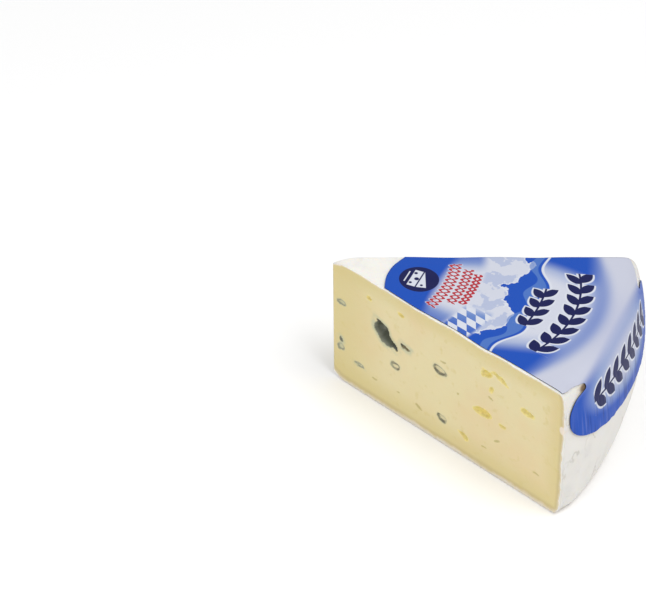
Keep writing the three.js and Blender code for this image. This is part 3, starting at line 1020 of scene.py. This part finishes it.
def print_ground(paint, s, a, out):
    """The soft blues that the rest is printed on."""
    paint.coat(PAPER)
    paint.coat(PAPER_WHITE, s.rise(84, 78) * 0.5)
    paint.coat(BLUE, out.rise(15, 0) * s.rise(82, 86) * 0.13)
    rocks = paint.noise(5.0, 3.0, (1, 0.8, 0), "polar").rise(0.5, 0.53)
    rocks_start, rocks_end = ROCKS
    paint.coat(BLUE_SOFT, rocks * s.rise(*rocks_start) * s.rise(*rocks_end) * 0.32)

    # the lobe, and a fainter blue by both cuts
    by_cut = s.rise(*CUT_BLUE_END)
    paint.coat(BLUE_SOFT, out.rise(11, 19) * by_cut * 0.7)
    paint.coat(BLUE, out.rise(15, 23) * by_cut * 0.6)
    paint.coat(BLUE, (s - bowed_line(out, LOBE_BLUE_END)).rise(3.2, -1.2))

    # the arc outside the large garland, and the deep ends of it
    arc_middle = bowed_line(out, ARC_MIDDLE)
    paint.coat(BLUE_SOFT, s.band(arc_middle, 5.6, 0.4) * 0.5)
    paint.coat(BLUE, s.band(arc_middle, 4.2, 0.2) * 0.3)
    start = (s - DEEP_END["s"]) * DEEP_END["slope"] + DEEP_END["angle"]
    deep_end = s.rise(62, 66) * s.rise(84, 77.5)
    paint.coat(BLUE_SOFT, (out - start).rise(-8.0, 0.0) * deep_end * 0.6)
    paint.coat(BLUE, (out - start).rise(-3.0, 2.2) * deep_end)

    # the tab's deep rim round its pale middle
    middle = oval(a, s, TAB_PALE_CENTRE, TAB_PALE_REACH).root()
    below_top = (s - bowed_line(out, TAB_BLUE_TOP)).rise(-2.5, 2.5)
    paint.coat(BLUE_SOFT, middle.rise(0.4, 1.0) * below_top * 0.7)
    paint.coat(BLUE, middle.rise(0.84, 1.24) * below_top)


def print_hills(paint, s, a):
    rough = (paint.noise(4.2, 4.0, (1, 0.9, 0), "polar") - 0.5) * HILLS_ROUGHNESS
    near = s - wavy_line(a, NEAR_HILLS) + rough
    far = s - wavy_line(a, FAR_HILLS)
    paint.coat(PAPER_WHITE, near.rise(-0.9, -0.5) * far.rise(1.0, 0.6))
    paint.coat(BLUE, near.rise(-0.15, 0.15) * far.rise(0.15, -0.15))
    ridge = s - wavy_line(a, RIDGE)
    paint.coat(BLUE_SOFT, ridge.rise(-0.2, 0.2) * far.rise(-0.8, -1.2) * 0.7)


def print_lozenges(paint, s, a, x, y):
    """The traditional lozenge check, by the front cut."""
    determinant = LOZENGE_LONG[0] * LOZENGE_SHORT[1] - LOZENGE_LONG[1] * LOZENGE_SHORT[0]
    p = (x * LOZENGE_SHORT[1] - y * LOZENGE_SHORT[0]) / determinant
    q = (y * LOZENGE_LONG[0] - x * LOZENGE_LONG[1]) / determinant
    odd = ((p.whole() + q.whole()) / 2).part().rise(0.2, 0.3)
    window = a.rise(*LOZENGE_ANGLES) * s.rise(*LOZENGE_START) * s.rise(*LOZENGE_END)
    paint.coat(PAPER_WHITE, window)
    to_corner = s * 0.25 - a
    paint.coat(BLUE_SOFT, window * odd * to_corner.rise(17.0, 26.0) * 0.9)
    paint.coat(BLUE, window * odd * to_corner.rise(22.0, 36.0) * 0.8)


def print_braids(paint, s, a, arc):
    """Rows of a red braid on white."""
    for at, low, high, reach in BRAIDS:
        height = s - at
        window = a.between(low, high, 0.15)
        wave = (arc * (2 * math.pi / BRAID_LENGTH)).sin() * reach
        strands = (height - wave).abs().least((height + wave).abs()) - BRAID_HALF_STRAND
        paint.coat(PAPER_WHITE, strands.rise(0.8, 0.45) * window * 0.8)
        paint.coat(RED, strands.rise(0.42, 0.22) * window)


def distance(u, v):
    return (u.squared() + v.squared()).root()


def print_badge(paint, x, y):
    """The round badge with a wedge of cheese on it, whose top is turned to the rim."""
    u, v = BADGE_CENTRE[1] - y, x - BADGE_CENTRE[0]
    paint.coat(NAVY, distance(u, v).rise(BADGE_RADIUS, BADGE_RADIUS - 0.25))
    body = (u.abs() - DRAWN_REACH).most((v + DRAWN_SIDE).abs() - DRAWN_SIDE)
    slope = v - DRAWN_TOP - (u + DRAWN_REACH) * DRAWN_SLOPE
    end = (v - DRAWN_TOP) * DRAWN_END[1] + (u - DRAWN_REACH) * DRAWN_END[0]
    top = (DRAWN_TOP - v).most(slope).most(end)
    line_end = u.abs() - DRAWN_LINE["reach"]
    line = line_end.most((v - DRAWN_LINE["at"]).abs() - DRAWN_LINE["half_width"])
    for shape in (body.least(top), line):
        paint.coat(PAPER_WHITE, shape.rise(0.1, -0.1))
    for hole_u, hole_v, size in BADGE_HOLES:
        hole = distance(u - hole_u, v - hole_v)
        paint.coat(NAVY, hole.rise(size + 0.12, size - 0.12))


def print_garlands(paint, s, out, turn):
    for at, bow, step, long, wide, first, last in GARLANDS:
        bowed = s + (out / GARLAND_BOW).squared() * bow
        leaves = garland(bowed, turn * at, at, step, long, wide)
        window = (turn * at / step).between(first, last, 0.03)
        window = window * (bowed - at).abs().rise(*(long * share for share in GARLAND_REACH))
        paint.coat(PAPER_WHITE, leaves.rise(0.85, 0.5) * window)
        paint.coat(NAVY, leaves.rise(0.12, -0.05) * window)


def label_material():
    paint = Paint("label")
    s, a, side = paint.parts("polar")
    turn = a * math.radians(1)
    x, y = s * turn.cos(), s * turn.sin()
    out = a.abs()
    print_ground(paint, s, a, out)
    print_hills(paint, s, a)
    print_lozenges(paint, s, a, x, y)
    print_braids(paint, s, a, s * turn)
    print_badge(paint, x, y)
    print_garlands(paint, s, out, turn)

    # the tab's gathered paper, its pleats painted as dark and light streaks of shade and light,
    # and the cut edge and underside painted dark as shadow
    pleat_shading = paint.noise(1.0, 2.0, (0.05, 1.6, 0.0), "polar")
    paint.coat(NAVY, pleat_shading.rise(0.54, 0.66) * side.rise(9, 17) * 0.35)
    paint.coat(PAPER_WHITE, pleat_shading.rise(0.46, 0.34) * side.rise(7, 16) * 0.1)
    # painted shadow: the paper's cut edge and underside are dark
    paint.coat(PAPER_EDGE_SHADOW, paint.field("under").rise(0.02, 0.4))
    paint.bump(paint.noise(0.5, 3.0), PAPER_BUMP)
    paint.shader.inputs["Specular IOR Level"].default_value = PAPER_SPECULAR
    return paint.finish(PAPER_ROUGHNESS)


# Floor, light and camera

FLOOR_REACH = 4.0  # metres, as are the next one and the lamps' distances and sizes
FLOOR_DROP = 0.0002
WORLD_STRENGTH = 0.62
LAMPS = [
    {"name": "key", "azimuth": 70, "elevation": 62, "distance": 1.3, "size": 0.7, "power": 8.0},
    {"name": "fill", "azimuth": -35, "elevation": 30, "distance": 1.5, "size": 1.2, "power": 7.0},
]
FLOOR_WHITE = srgb(250, 250, 250)
FLOOR_CLOUD = srgb(251, 251, 251)
FLOOR_CLOUD_SIZE = 400  # millimetres
FLOOR_ROUGHNESS = 0.9
VIEW_CLIP = (0.05, 20)


def make_stage():
    floor = bpy.data.meshes.new("floor")
    signs = [(-1, -1), (1, -1), (1, 1), (-1, 1)]
    corners = [(FLOOR_REACH * x, FLOOR_REACH * y, 0) for x, y in signs]
    floor.from_pydata(corners, [], [(0, 1, 2, 3)])
    piece = bpy.data.objects.new("floor", floor)
    bpy.context.collection.objects.link(piece)
    piece.location.z = -FLOOR_DROP
    paint = Paint("floor")
    paint.coat(FLOOR_WHITE)
    paint.coat(FLOOR_CLOUD, paint.noise(FLOOR_CLOUD_SIZE))
    floor.materials.append(paint.finish(FLOOR_ROUGHNESS))


def stand(name, data, target, azimuth, elevation, far, roll=0.0):
    """Puts a lamp or a camera far metres from a target, at an azimuth and an elevation, so that
    it looks at the target."""
    level = math.cos(elevation)
    away = Vector((math.sin(azimuth) * level, -math.cos(azimuth) * level, math.sin(elevation)))
    thing = bpy.data.objects.new(name, data)
    thing.location = target + away * far
    thing.rotation_mode = "QUATERNION"
    upright = (-away).to_track_quat("-Z", "Y")
    thing.rotation_quaternion = upright @ Quaternion((0, 0, 1), roll)
    bpy.context.collection.objects.link(thing)
    return thing


def make_light():
    world = bpy.data.worlds.new("studio")
    world.use_nodes = True
    background = world.node_tree.nodes["Background"]
    background.inputs["Color"].default_value = (1, 1, 1, 1)
    background.inputs["Strength"].default_value = WORLD_STRENGTH
    bpy.context.scene.world = world
    bpy.context.scene.view_settings.view_transform = "Standard"
    for lamp in LAMPS:
        light = bpy.data.lights.new(lamp["name"], "AREA")
        light.shape = "SQUARE"
        light.size = lamp["size"]
        light.energy = lamp["power"]
        azimuth, elevation = math.radians(lamp["azimuth"]), math.radians(lamp["elevation"])
        stand(lamp["name"], light, Vector((0, 0, 0)), azimuth, elevation, lamp["distance"])


def make_camera():
    lens = bpy.data.cameras.new("camera")
    lens.sensor_width = SENSOR_WIDTH
    lens.lens = VIEW_LENS
    lens.clip_start, lens.clip_end = VIEW_CLIP
    aim = Vector((AXIS[0] + VIEW_AIM[0], AXIS[1] + VIEW_AIM[1], 0)) / 1000
    far = VIEW_DISTANCE / 1000
    camera = stand("camera", lens, aim, VIEW_AZIMUTH, VIEW_ELEVATION, far, VIEW_ROLL)
    bpy.context.scene.camera = camera


make_camera()
make_light()
make_stage()

for make, node, material in (
    (make_cheese, "cheese", cheese_material()),
    (make_label, "label", label_material()),
):
    piece = make()
    piece.data.materials.append(material)
    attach(piece, "root")
    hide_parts(node)
